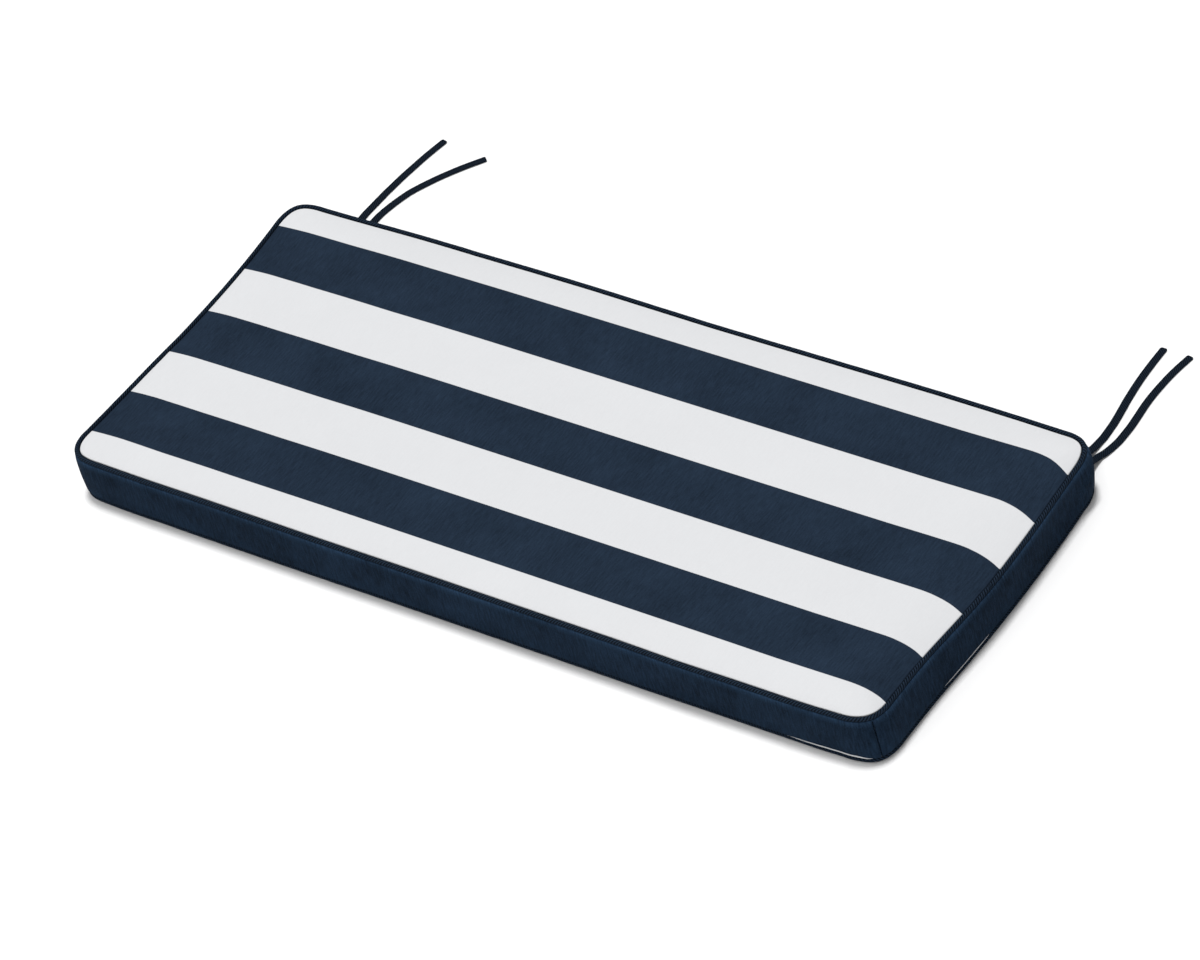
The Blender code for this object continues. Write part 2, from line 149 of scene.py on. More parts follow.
LOWER_OUTLINE = [
    (0.0, 0.7), (0.04, 0.7), (0.08, 0.2), (0.12, -0.8), (0.15, -1.5), (0.18, -2.3), (0.195, -1.6),
    (0.205, 0.4), (0.22, 1.7), (0.24, 1.0), (0.26, 0.8), (0.30, 0.0), (1.65, 0.0), (1.68, 1.5),
    (1.69, 2.5), (1.70, 1.7), (1.71, -1.0), (1.72, -2.3), (1.73, -1.7), (1.75, -1.3), (1.78, -0.8),
    (1.80, -1.4), (1.83, -0.9), (2.00, -0.7), (2.15, -1.4), (2.26, -1.3), (2.36, -1.0), (2.46, -0.6),
    (2.58, -0.9), (2.68, -0.8), (2.70, -1.2), (2.71, -1.8), (2.73, -1.4), (2.74, 1.3), (2.75, 4.1),
    (2.76, 3.3), (2.77, 1.1), (2.78, 0.3), (2.80, -0.5), (2.83, -1.6), (2.86, -1.5), (2.90, -0.3),
    (2.94, 0.5),
]
OUTLINE_STEP = 0.002
# The smoothing of the outline: its reach to either side and its width, in steps.
SMOOTH_REACH, SMOOTH_WIDTH = 8, 2.2


def closed_curve(points):
    """The moves at even steps along the seam line, smoothed."""
    places, moves = np.array(points).T
    even = np.interp(np.arange(0, PERIMETER, OUTLINE_STEP), places, moves * MM, period=PERIMETER)
    weights = np.exp(-(np.arange(-SMOOTH_REACH, SMOOTH_REACH + 1) / SMOOTH_WIDTH) ** 2 / 2)
    closed = np.concatenate([even[-SMOOTH_REACH:], even, even[:SMOOTH_REACH]])
    return np.convolve(closed, weights / weights.sum(), "valid")


UPPER_MOVE, LOWER_MOVE = closed_curve(UPPER_OUTLINE), closed_curve(LOWER_OUTLINE)


def outline_move(x, y, height):
    """The move in x and y at a place of the straight-sided form; it dies out towards the inner rectangle."""
    inner_x, inner_y = np.clip(x, -INNER_X, INNER_X), np.clip(y, -INNER_Y, INNER_Y)
    across, down = x - inner_x, y - inner_y
    right = (across > 0) & (abs(down) <= across)
    back = (down > 0) & (abs(across) < down)
    left = (across < 0) & (abs(down) <= -across)
    t = np.select(
        [right, back, left],
        [inner_y + CORNER_RADIUS * np.arctan2(down, across),
         KNOT_T[2] + INNER_X - inner_x - CORNER_RADIUS * np.arctan2(across, down),
         KNOT_T[4] + INNER_Y - inner_y - CORNER_RADIUS * np.arctan2(down, -across)],
        KNOT_T[6] + INNER_X + inner_x + CORNER_RADIUS * np.arctan2(across, -down))
    places = np.arange(len(UPPER_MOVE)) * OUTLINE_STEP
    upper, lower = (np.interp(t, places, moves, period=PERIMETER) for moves in (UPPER_MOVE, LOWER_MOVE))
    reach = np.hypot(across, down)
    move = (lower + (upper - lower) * height) * smooth(reach / CORNER_RADIUS) / np.maximum(reach, 1e-9)
    return across * move, down * move


def along_seam(t):
    """Point of the inner rectangle and unit normal at arc length t of the seam line."""
    t = np.mod(t, PERIMETER)
    angle = np.interp(t, KNOT_T, KNOT_A)
    return np.interp(t, KNOT_T, KNOT_X), np.interp(t, KNOT_T, KNOT_Y), np.cos(angle), np.sin(angle)


def off_seam(t, out, z):
    """The place at arc length t of the seam line, out from it, at height z."""
    x, y, nx, ny = along_seam(t)
    reach = CORNER_RADIUS + out
    return sewn(x + nx * reach, y + ny * reach, z)


def wander(t, waves, seed):
    """A smooth irregular function of arc length, about -1 to 1, closed round the ring."""
    local = np.random.default_rng(seed)
    total = np.zeros_like(t)
    for count in waves:
        total += local.uniform(0.5, 1) * np.sin(2 * math.pi * (count * t / PERIMETER + local.random()))
    return total / len(waves)


def new_mesh(name, points, faces, material, uv=None):
    """A smooth-shaded mesh. uv is one pair for each point, in metres along the cloth."""
    mesh = bpy.data.meshes.new(name)
    mesh.from_pydata([tuple(p) for p in points], [], faces)
    mesh.update()
    if uv is not None:
        layer = mesh.uv_layers.new(name="cloth")
        loops = np.empty(len(mesh.loops), np.int32)
        mesh.loops.foreach_get("vertex_index", loops)
        layer.data.foreach_set("uv", np.asarray(uv, np.float32)[loops].ravel())
    mesh.shade_smooth()
    mesh.materials.append(material)
    piece = bpy.data.objects.new(name, mesh)
    bpy.context.scene.collection.objects.link(piece)
    return piece


def grid_faces(rows, columns, close_columns=False, close_rows=False, start=0):
    """Quads over points stored row by row."""
    faces = []
    last_column = columns if close_columns else columns - 1
    last_row = rows if close_rows else rows - 1
    for row in range(last_row):
        below, above = row * columns, (row + 1) % rows * columns
        for column in range(last_column):
            beside = (column + 1) % columns
            corners = below + column, below + beside, above + beside, above + column
            faces.append(tuple(start + corner for corner in corners))
    return faces


# Materials ------------------------------------------------------------------------------------------------


def linear(level):
    share = level / 255
    return share / 12.92 if share <= 0.04045 else ((share + 0.055) / 1.055) ** 2.4


def colour(red, green, blue):
    return (linear(red), linear(green), linear(blue), 1.0)


class Nodes:
    """A short way to write a material's node tree."""

    def __init__(self, tree):
        self.tree = tree

    def add(self, kind, **settings):
        node = self.tree.nodes.new(kind)
        for key, value in settings.items():
            setattr(node, key, value)
        return node

    def link(self, source, socket):
        if isinstance(source, (int, float)):
            socket.default_value = source
        else:
            self.tree.links.new(source, socket)

    def math(self, operation, a, b=None, c=None):
        node = self.add("ShaderNodeMath", operation=operation)
        for index, value in enumerate((a, b, c)):
            if value is not None:
                self.link(value, node.inputs[index])
        return node.outputs[0]

    def range(self, value, low, high, to_low, to_high, interpolation_type="LINEAR"):
        node = self.add("ShaderNodeMapRange", interpolation_type=interpolation_type)
        self.link(value, node.inputs["Value"])
        for key, number in (("From Min", low), ("From Max", high), ("To Min", to_low), ("To Max", to_high)):
            node.inputs[key].default_value = number
        return node.outputs[0]

    def vector(self, x, y, z=0.0):
        node = self.add("ShaderNodeCombineXYZ")
        for index, value in enumerate((x, y, z)):
            self.link(value, node.inputs[index])
        return node.outputs[0]

    def noise(self, vector, scale, detail=2.0, roughness=0.5):
        node = self.add("ShaderNodeTexNoise")
        self.tree.links.new(vector, node.inputs["Vector"])
        node.inputs["Scale"].default_value = scale
        node.inputs["Detail"].default_value = detail
        node.inputs["Roughness"].default_value = roughness
        return node.outputs["Fac"]

    def mix(self, share, a, b, blend_type="MIX"):
        node = self.add("ShaderNodeMix", data_type="RGBA", blend_type=blend_type)
        node.clamp_factor = True
        self.link(share, node.inputs[0])
        for socket, value in ((node.inputs[6], a), (node.inputs[7], b)):
            if isinstance(value, tuple):
                socket.default_value = value
            else:
                self.tree.links.new(value, socket)
        return node.outputs[2]


ROUGHNESS, SPECULAR, SHEEN, SHEEN_ROUGHNESS = 0.86, 0.02, 0.004, 0.5
THREAD_HEIGHT = 0.0003
# How much of the threads' unevenness the white stripes show, beside the navy ones.
WHITE_GRAIN_SHARE = 0.06


def cloth_material(name, base_colour, tone, grain, weave=0.0009, bump=0.35, streak=(500, 70), stripes=None,
                   ribs=None, rim=None):
    """Woven cloth in base_colour, or striped with a second colour between the stripes' edges along v.

    tone is the contrast of the weave, painted as shade in the threads' hollows and as highlight on their
    crowns;
    grain is that of the uneven threads, and streak how close these lie along u and v. ribs is the width of a
    bias-cut cover's ribs, painted lighter on their crowns and darker between them. rim is a painted highlight
    where the cloth bulges out and faces up just below a seam: the places along v where it starts and is
    complete, and how much lighter it is there."""
    material = bpy.data.materials.new(name)
    material.use_nodes = True
    tree = material.node_tree
    n = Nodes(tree)
    shader = tree.nodes["Principled BSDF"]
    uv = n.add("ShaderNodeUVMap", uv_map="cloth")
    split = n.add("ShaderNodeSeparateXYZ")
    tree.links.new(uv.outputs[0], split.inputs[0])
    u, v = split.outputs[0], split.outputs[1]
    # Threads: one set runs along u, the other along v, and they pass over and under by turns.
    across, along = n.math("DIVIDE", u, weave), n.math("DIVIDE", v, weave)
    bow_u = n.math("ABSOLUTE", n.math("SINE", n.math("MULTIPLY", across, math.pi)))
    bow_v = n.math("ABSOLUTE", n.math("SINE", n.math("MULTIPLY", along, math.pi)))
    square = n.math("ADD", n.math("FLOOR", across), n.math("FLOOR", along))
    parity = n.math("ABSOLUTE", n.math("MODULO", square, 2.0))
    warp_up = n.math("MULTIPLY", bow_u, n.math("POWER", bow_v, 0.35))
    weft_up = n.math("MULTIPLY", bow_v, n.math("POWER", bow_u, 0.35))
    weft_share = n.math("MULTIPLY", weft_up, n.math("SUBTRACT", 1.0, parity))
    height = n.math("ADD", n.math("MULTIPLY", warp_up, parity), weft_share)
    # Uneven threads: streaks along v, finer specks, and slow clouds over the whole cloth.
    streaks = n.noise(n.vector(n.math("MULTIPLY", u, streak[0]), n.math("MULTIPLY", v, streak[1])), 1.0)
    specks = n.noise(n.vector(n.math("MULTIPLY", u, 700.0), n.math("MULTIPLY", v, 450.0)), 1.0)
    clouds = n.noise(n.add("ShaderNodeTexCoord").outputs["Object"], 14.0, 3.0, 0.6)
    finer = n.math("MULTIPLY_ADD", specks, 0.3, n.math("MULTIPLY", clouds, 0.4))
    uneven = n.math("SUBTRACT", n.math("MULTIPLY_ADD", streaks, 0.5, finer), 0.6)
    shade = n.math("MULTIPLY_ADD", uneven, grain, 1.0)
    # Painted shade and highlight of the weave: the threads' low places darker, their crowns lighter.
    shade = n.math("MULTIPLY", shade, n.range(height, 0.0, 1.0, 1.0 - tone, 1.0 + tone * 0.4))
    relief = n.math("MULTIPLY_ADD", streaks, 0.5, height)
    # Painted highlight: the cloth is made lighter towards the top of its v range, where it bulges out below a
    # seam.
    if rim:
        shade = n.math("MULTIPLY", shade, n.range(v, rim[0], rim[1], 1.0, rim[2], "SMOOTHSTEP"))
    if ribs:
        slant = n.math("MULTIPLY", n.math("MULTIPLY_ADD", v, 0.8, u), 2 * math.pi / ribs)
        rib = n.math("SINE", n.math("MULTIPLY_ADD", specks, 3.0, slant))
        # Painted highlight and shade of the ribs: lighter on their crowns, darker between them; their relief
        # is in the bump.
        shade = n.math("MULTIPLY", shade, n.range(rib, -1.0, 1.0, 0.1, 2.5))
        relief = n.math("MULTIPLY_ADD", rib, 0.8, relief)
    if stripes:
        second, edges, soft = stripes
        # The colour changes along threads, so the edges are a little ragged.
        jitter = n.noise(n.vector(n.math("MULTIPLY", u, 900.0), 0.0), 1.0)
        place = n.math("MULTIPLY_ADD", jitter, 0.0005, n.math("SUBTRACT", v, 0.00025))
        striped = None
        for index, edge in enumerate(edges):
            step = n.range(place, edge - soft, edge + soft, 0.0, 1.0)
            operation = "ADD" if index % 2 == 0 else "SUBTRACT"
            striped = step if striped is None else n.math(operation, striped, step)
        base = n.mix(striped, base_colour, second)
        # The dyed navy shows the uneven threads more than the white does.
        faint = n.math("MULTIPLY_ADD", n.math("SUBTRACT", shade, 1.0), WHITE_GRAIN_SHARE, 1.0)
        shade = n.mix(striped, faint, shade)
        shaded = n.mix(1.0, base, shade, "MULTIPLY")
    else:
        shaded = n.mix(1.0, base_colour, n.vector(shade, shade, shade), "MULTIPLY")
    tree.links.new(shaded, shader.inputs["Base Color"])
    gloss = n.range(streaks, 0.2, 0.8, ROUGHNESS - 0.05, ROUGHNESS + 0.05)
    tree.links.new(gloss, shader.inputs["Roughness"])
    bump_node = n.add("ShaderNodeBump")
    bump_node.inputs["Strength"].default_value = bump
    bump_node.inputs["Distance"].default_value = THREAD_HEIGHT
    tree.links.new(relief, bump_node.inputs["Height"])
    tree.links.new(bump_node.outputs[0], shader.inputs["Normal"])
    shader.inputs["Specular IOR Level"].default_value = SPECULAR
    shader.inputs["Sheen Weight"].default_value = SHEEN
    shader.inputs["Sheen Roughness"].default_value = SHEEN_ROUGHNESS
    return material


WHITE = colour(210, 211, 213)
NAVY = colour(32, 44, 59)
SIDE_NAVY = colour(23, 37, 53)
TRIM_NAVY = colour(17, 24, 33)
PIPING_NAVY = colour(21, 30, 41)
STRIPE_SOFTNESS = 0.0003
striped_cloth = cloth_material("striped_cloth", WHITE, tone=0.10, grain=1.8,
                               stripes=(NAVY, STRIPE_EDGES, STRIPE_SOFTNESS))
# The side strips get a painted highlight just under the upper piping, up to 2.1 times lighter at the top.
side_cloth = cloth_material("side_cloth", SIDE_NAVY, tone=0.16, grain=3.3, bump=0.45, streak=(460, 60),
                            rim=(0.0465, 0.0575, 2.1))
trim_cloth = cloth_material("trim_cloth", TRIM_NAVY, tone=0.09, grain=0.7, weave=0.0008, bump=0.5,
                            ribs=0.0028)
piping_cloth = cloth_material("piping_cloth", PIPING_NAVY, tone=0.08, grain=0.7, weave=0.0008, bump=0.5,
                              ribs=0.0036)


# The pad --------------------------------------------------------------------------------------------------

ROLL = 0.0014
NEAR_EDGE = [0.0, 0.0010, 0.0024, 0.0042, 0.0064, 0.0092, 0.0126, 0.0166, 0.0212, 0.0266, 0.0322]
CELL = 0.0075
# The rim of the panel, rolled over beside the piping: more inset than the edge, and below the edge's top.
RIM_ROLL = [(0.00085, 0.0001), (0.0004, 0.0004), (0.0001, 0.0008), (0.0, 0.0013), (0.0001, 0.0019),
            (0.0005, 0.0028), (0.0010, 0.0042)]
SIDE_INSET = 0.0030
SIDE_LEVELS = [0.048, 0.038, 0.028, 0.018, 0.009]
LOWER_ROLL = [(0.0046, 0.0072), (0.0046, 0.0030), (0.0050, 0.0014), (0.0058, 0.0004)]
UNDER_EDGE = 0.0070
# The bottom panel's edge shows at the front right corner, and a little in the middle of the right side.
FRONT_SHOWS, RIGHT_SHOWS = 0.0030, 0.0012
# Where it starts and ends, from the corner's first knot or the side's middle, and over what length it comes
# and goes.
FRONT_START, FRONT_END, FRONT_COMES, FRONT_GOES = -0.190, 0.033, 0.185, 0.020
RIGHT_START, RIGHT_END, RIGHT_RUN = -0.125, 0.004, 0.045
# Its roll there: out from the lower seam, up from it, and the share of the lift.
EDGE_ROLL = [(-0.0012, 0.0030, 0.30), (0.0008, 0.0026, 0.35), (0.0016, 0.0025, 0.45), (0.0022, 0.0026, 0.55),
             (0.0026, 0.0029, 0.68), (0.0027, 0.0031, 0.85), (0.0022, 0.0032, 1.0), (0.0010, 0.0032, 1.1),
             (-0.0012, 0.0032, 1.1)]
EDGE_SPACING, EDGE_TUCK = 0.003, 0.0016


def cuts(half):
    """Places from -1 to 1 where the panel is divided: close near the edge, then even."""
    inner = half - NEAR_EDGE[-1]
    count = math.ceil(inner / CELL)
    places = [1 - d / half for d in NEAR_EDGE] + [inner / half * (1 - (i + 1) / count) for i in range(count)]
    places = sorted(set(round(p, 9) for p in places))
    return np.array([-p for p in reversed(places) if p > 0] + places)


def plan(u, v, inset):
    """Square coordinates to the round-cornered plan that lies inset inside the seam line."""
    x, y = np.abs(u) * (HALF_LENGTH - inset), np.abs(v) * (HALF_DEPTH - inset)
    across, down = x - INNER_X, y - INNER_Y
    corner = (across > 0) & (down > 0)
    reach = np.where(corner, np.maximum(across, down) / np.maximum(np.hypot(across, down), 1e-12), 1)
    x = np.where(corner, INNER_X + across * reach, x)
    y = np.where(corner, INNER_Y + down * reach, y)
    return np.copysign(x, u), np.copysign(y, v)


def from_edges(x, y):
    """Distances from the left, right, front and back edges."""
    return np.stack([HALF_LENGTH + x, HALF_LENGTH - x, HALF_DEPTH + y, HALF_DEPTH - y])


def near_edges(values, x, y):
    """The value of the nearest edge, blended between edges."""
    weights = np.exp(-from_edges(x, y) / EDGE_BLEND)
    return np.tensordot(values, weights / weights.sum(0), 1)


def crown_height(x, y):
    """Height of the top panel above the upper seam."""
    rise = np.ones_like(x)
    for distance, run, power in zip(from_edges(x, y), CROWN_RUN, CROWN_POWER):
        rise = rise * (1 - (1 - np.clip((distance - CROWN_START) / run, 0, 1)) ** power)
    dip = MIDDLE_DIP * (1 - (x / HALF_LENGTH) ** 2) * (1 - (y / HALF_DEPTH) ** 2)
    edge = near_edges(EDGE_RISE, x, y)
    return edge + (CROWN - edge - dip) * rise


def fill(pad, free):
    """Lets the pressure of the filling round the free points, within what the sewn cover allows."""
    before = np.empty(len(pad.data.vertices) * 3, np.float32)
    pad.data.vertices.foreach_get("co", before)
    held = pad.vertex_groups.new(name="held")
    held.add([int(i) for i in np.nonzero(~free)[0]], 1.0, "REPLACE")
    cloth = pad.modifiers.new("filling", "CLOTH")
    settings = cloth.settings
    settings.quality = 6
    settings.mass = 0.15
    settings.tension_stiffness = settings.compression_stiffness = 25
    settings.shear_stiffness = 12
    settings.bending_stiffness = 1.5
    settings.use_pressure = True
    settings.uniform_pressure_force = 4
    settings.effector_weights.gravity = 0
    settings.vertex_group_mass = "held"
    cloth.collision_settings.use_collision = False
    for frame_number in range(1, FILL_FRAMES + 1):
        bpy.context.scene.frame_set(frame_number)
    swollen = pad.evaluated_get(bpy.context.evaluated_depsgraph_get()).to_mesh()
    after = np.empty_like(before)
    swollen.vertices.foreach_get("co", after)
    pad.modifiers.remove(cloth)
    pad.vertex_groups.remove(held)
    bpy.context.scene.frame_set(1)
    moved = (after - before).reshape(-1, 3)
    length = np.linalg.norm(moved, axis=1)
    cap = FILL_RISE * 1.05
    moved *= (cap * np.tanh(length / cap) / np.maximum(length, 1e-9))[:, None]
    pad.data.vertices.foreach_set("co", (before.reshape(-1, 3) + moved).ravel())
    pad.data.update()


def panel_shows(t):
    """How far up the bottom panel's edge shows between the strip and the lower piping, at arc length t."""
    front = t - KNOT_T[7]
    right = np.mod(t + PERIMETER / 2, PERIMETER) - PERIMETER / 2
    at_front = smooth((front - FRONT_START) / FRONT_COMES) ** 4 * smooth((FRONT_END - front) / FRONT_GOES)
    at_right = smooth((right - RIGHT_START) / RIGHT_RUN) * smooth((RIGHT_END - right) / RIGHT_RUN)
    return FRONT_SHOWS * at_front + RIGHT_SHOWS * at_right


def panel_edge(first, last):
    """The bottom panel's edge where it rolls up outside the seam: points, uv, and faces from 0."""
    t = np.linspace(first, last, round((last - first) / EDGE_SPACING) + 1)
    lift = panel_shows(np.mod(t, PERIMETER))
    tucked = EDGE_TUCK * (1 - smooth(lift / EDGE_TUCK))
    rows = [off_seam(t, out - tucked, LOWER_SEAM_Z + low + lift * share) for out, low, share in EDGE_ROLL]
    x, y, nx, ny = along_seam(t)
    uv = np.stack([np.tile(x, len(rows)), np.repeat(np.arange(len(rows)) * 0.001, len(t)) + HALF_DEPTH], -1)
    return np.concatenate(rows), uv, grid_faces(len(rows), len(t), close_rows=True)


def wandering(table, distance, share):
    """How far the stripes are moved at a distance from an end, with a share of the outermost ones' move."""
    places, together, outermost = table.T
    return np.interp(distance, places, together) + share * np.interp(distance, places, outermost)


def ring_faces(above, below):
    """Quads between two closed rings of as many points."""
    return [(int(below[i - 1]), int(below[i]), int(above[i]), int(above[i - 1]))
            for i in [*range(1, len(above)), 0]]


def make_pad():
    us, vs = cuts(HALF_LENGTH), cuts(HALF_DEPTH)
    grid_u, grid_v = np.meshgrid(us, vs)
    rows, columns = grid_u.shape
    flat_u, flat_v = grid_u.ravel(), grid_v.ravel()
    outline_x, outline_y = plan(flat_u, flat_v, 0)
    edge_inset = near_edges(EDGE_INSET, outline_x, outline_y)
    x, y = plan(flat_u, flat_v, edge_inset + ROLL)
    start_rise = FILL_RISE * np.clip(from_edges(x, y).min(0) / FILL_RUN, 0, 1)
    top_z = UPPER_SEAM_Z + crown_height(x, y) - start_rise
    drift = (wandering(RIGHT_WANDER, HALF_LENGTH - x, y / HALF_DEPTH)
             + wandering(LEFT_WANDER, HALF_LENGTH + x, (y / HALF_DEPTH) ** 2))
    points, uv, faces = [sewn(x, y, top_z)], [np.stack([x, y + drift], -1)], grid_faces(rows, columns)
    free = np.ones(len(x), bool)
    # The ring of the panel's rim, anticlockwise from above.
    rim = [(0, c) for c in range(columns - 1)] + [(r, columns - 1) for r in range(rows - 1)]
    rim += [(rows - 1, c) for c in range(columns - 1, 0, -1)] + [(r, 0) for r in range(rows - 1, 0, -1)]
    rim = np.array([r * columns + c for r, c in rim])
    free[rim] = False
    rim_u, rim_v, rim_z = flat_u[rim], flat_v[rim], top_z[rim]
    levels = [(edge_inset[rim] + inset, rim_z - down) for inset, down in RIM_ROLL]
    levels += [(np.full(len(rim), SIDE_INSET), np.full(len(rim), z)) for z in SIDE_LEVELS]
    levels += [(np.full(len(rim), inset), np.full(len(rim), z)) for inset, z in LOWER_ROLL]
    start, above, count = len(x), rim, len(rim)
    for inset, z in levels:
        px, py = plan(rim_u, rim_v, inset)
        points.append(sewn(px, py, z))
        uv.append(np.stack([px, py + drift[rim]], -1))
        below = start + np.arange(count)
        faces += ring_faces(above, below)
        above, start = below, start + count
    # The underside lies flat.
    px, py = plan(flat_u, flat_v, UNDER_EDGE)
    points.append(sewn(px, py, np.zeros_like(px)))
    uv.append(np.stack([px, -py], -1))
    faces += [tuple(reversed(face)) for face in grid_faces(rows, columns, start=start)]
    below = start + rim
    faces += ring_faces(above, below)
    start += len(x)
    corner_seam = KNOT_T[8] - SEAM_ANGLE * CORNER_RADIUS
    for first, last in ((KNOT_T[7] + FRONT_START, corner_seam), (RIGHT_START, RIGHT_END)):
        edge_points, edge_uv, edge_faces = panel_edge(first, last)
        faces += [tuple(start + i for i in face) for face in edge_faces]
        points.append(edge_points)
        uv.append(edge_uv)
        start += len(edge_points)
    points, uv = np.concatenate(points), np.concatenate(uv)
    cover = new_mesh("cushion_cover", points, faces, striped_cloth, uv)
    free = np.concatenate([free, np.zeros(len(points) - len(x), bool)])
    fill(cover, free)
    finer = cover.modifiers.new("finer", "SUBSURF")
    finer.levels = finer.render_levels = 1
    return cover


pad = make_pad()
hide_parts("cushion_pad")
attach(pad, "root")


# Swept pieces: side strips and piping ---------------------------------------------------------------------


def stations(first, last, spacing, corner_spacing):
    """Arc lengths from first to last, closer in the corners."""
    knots = [k for lap in (-1, 0, 1) for k in KNOT_T[:-1] + lap * PERIMETER if first < k < last]
    places = [first]
    for a, b in zip([first] + knots, knots + [last]):
        middle = np.mod((a + b) / 2, PERIMETER)
        index = int(np.searchsorted(KNOT_T, middle)) - 1
        step = corner_spacing if KNOT_A[index] != KNOT_A[index + 1] else spacing
        count = max(1, math.ceil((b - a) / step))
        places += [a + (b - a) * (i + 1) / count for i in range(count)]
    return np.array(places)


BULGE = 0.0036
# The bulge at the back right, back left, front left and front right corners, and its reach along the sides.
CORNER_SWELL = [(0.0066, 0.035), (0.0048, 0.11), (0.0044, 0.11), (0.0046, 0.11)]
# Before the tied back right corner the side is pulled flatter: arc length, half its length, run-out, depth.
FLATTER = (0.145, 0.02, 0.05, 0.0024)
STRIP_THICKNESS = 0.0009
# Where the strip comes out under the upper piping: out from the seam line and down from the seam.
TUCK_UPPER = [(-0.0010, 0.0018), (0.0002, 0.0014), (0.0012, 0.0009), (0.0020, 0.0003), (0.0026, 0.0006),
              (0.0031, 0.0014)]
# Then the share of the height between the seams, the share of the even bulge, and how far the row is lifted
# where the bottom panel's edge shows.
STRIP_BULGE = [(0.930, 0.85, 0), (0.915, 0.91, 0), (0.893, 0.955, 0), (0.86, 0.985, 0), (0.80, 1.01, 0),
               (0.73, 1.02, 0), (0.64, 1.02, 0), (0.54, 1.01, 0), (0.44, 0.98, 0), (0.34, 0.94, 0),
               (0.25, 0.90, 0.2), (0.18, 0.87, 0.5), (0.125, 0.83, 0.85), (0.092, 0.77, 0.95),
               (0.072, 0.66, 1)]
TUCK_LOWER = [(0.0014, 0.0027), (0.0, 0.0024)]   # out, and up from the lower seam
# Where a length ends, its last columns turn in, so that two lengths meet in a groove.
TURNED = np.array([0.00002, 0.0003, 0.0007, 0.0013, 0.0020])
TURN_DEPTHS = (0.0030, 0.0014, 0.0006, 0.0002)
CLEAR_OF_TURN = 0.0028
SLACK, PUCKER = 0.0007, 0.00030
# Between columns on the straights and in the corners.
STRIP_SPACING = (0.004, 0.002)


def from_place(t, place):
    """Distance along the closed seam line."""
    return np.abs(np.mod(t - place + PERIMETER / 2, PERIMETER) - PERIMETER / 2)


def swell(t):
    """How far the strip bulges: more where the filling is pushed into a corner."""
    bulge = np.full_like(t, BULGE)
    for index, first in enumerate((1, 3, 5, 7)):
        middle = (KNOT_T[first] + KNOT_T[first + 1]) / 2
        corner_bulge, reach = CORNER_SWELL[index]
        away = from_place(t, middle)
        bulge = bulge + smooth(1 - (away - QUARTER / 2) / reach) * (corner_bulge - BULGE)
    place, half, run_out, depth = FLATTER
    return bulge - depth * smooth(1 - (from_place(t, place) - half) / run_out)


# Arc lengths of the four upright seams of the side strip.
SEAM_TURN = SEAM_ANGLE * CORNER_RADIUS
RIGHT_BACK, LEFT_BACK = KNOT_T[1] + SEAM_TURN, KNOT_T[4] - SEAM_TURN
LEFT_FRONT, RIGHT_FRONT = KNOT_T[5] + SEAM_TURN, KNOT_T[8] - SEAM_TURN
# The fold beside the tied back right corner: arc length before the corner's seam, and height.
FOLD = np.array([(0.003, 0.050), (0.010, 0.043), (0.017, 0.036), (0.026, 0.029), (0.037, 0.022)])
FOLD_HEIGHT, FOLD_WIDTH = 0.0016, 0.0035


def fold(t, z):
    """A soft ridge with a hollow below it."""
    before = np.mod(RIGHT_BACK - t + 0.1, PERIMETER) - 0.1
    along = np.interp(before, FOLD[:, 0], FOLD[:, 1])
    across = (z - along) / FOLD_WIDTH
    inside = smooth((before + 0.004) / 0.008) * smooth((0.045 - before) / 0.02)
    return FOLD_HEIGHT * inside * (np.exp(-across ** 2) - 0.6 * np.exp(-(across + 1.7) ** 2))


def make_strip(name, first, last, seed):
    """One length of the side strip, from its tuck under the upper piping to that over the lower one."""
    t = stations(first, last, *STRIP_SPACING)
    between = t[(t > t[0] + CLEAR_OF_TURN) & (t < t[-1] - CLEAR_OF_TURN)]
    t = np.concatenate([t[0] + TURNED, between, t[-1] - TURNED[::-1]])
    turn_in = np.zeros_like(t)
    for column, depth in enumerate(TURN_DEPTHS):
        turn_in[[column, -1 - column]] = -depth
    bulge = swell(t)
    slack = wander(t, (5, 9, 14, 23), seed) * SLACK
    pull = wander(t, (61, 97, 143, 171), seed + 1)
    height = UPPER_SEAM_Z - LOWER_SEAM_Z
    rows, down = [], []
    for out, below in TUCK_UPPER:
        rows.append(off_seam(t, out + turn_in * 0.4, UPPER_SEAM_Z - below))
        down.append(height - below)
    lift = panel_shows(t)
    for share, part, lifted in STRIP_BULGE:
        z = LOWER_SEAM_Z + height * share + lift * lifted
        arch = 1 - (2 * share - 1) ** 2
        pucker = pull * PUCKER * smooth((abs(share - 0.5) - 0.22) / 0.2)
        out = BULGE * part + (bulge - BULGE) * arch + slack * arch + pucker + turn_in
        if name == "side_right":
            out = out + fold(t, z)
        rows.append(off_seam(t, out, z))
        down.append(height * share)
    for out, above in TUCK_LOWER:
        rows.append(off_seam(t, out + turn_in * 0.4, LOWER_SEAM_Z + above + lift))
        down.append(above)
    uv = np.stack([np.tile(t, len(rows)), np.repeat(down, len(t))], -1)
    faces = [tuple(reversed(face)) for face in grid_faces(len(rows), len(t))]
    strip = new_mesh(name, np.concatenate(rows), faces, side_cloth, uv)
    thickness = strip.modifiers.new("thickness", "SOLIDIFY")
    thickness.thickness = STRIP_THICKNESS
    thickness.offset = -1
    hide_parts(name.replace("side_", "boxing_"))
    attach(strip, "root")


for seed, (name, first, last) in enumerate((
    ("side_right", RIGHT_FRONT - PERIMETER, RIGHT_BACK),
    ("side_back", RIGHT_BACK, LEFT_BACK),
    ("side_left", LEFT_BACK, LEFT_FRONT),
    ("side_front", LEFT_FRONT, RIGHT_FRONT),
), start=20):
    make_strip(name, first, last, seed)


CORD_VISIBLE_RADIUS = 0.00250
CORD_LIFT = 0.0015   # the filling pushes the upper cord up
COVER_LOOSENESS = 0.00012
PIPING_SPACING = (0.005, 0.0025)
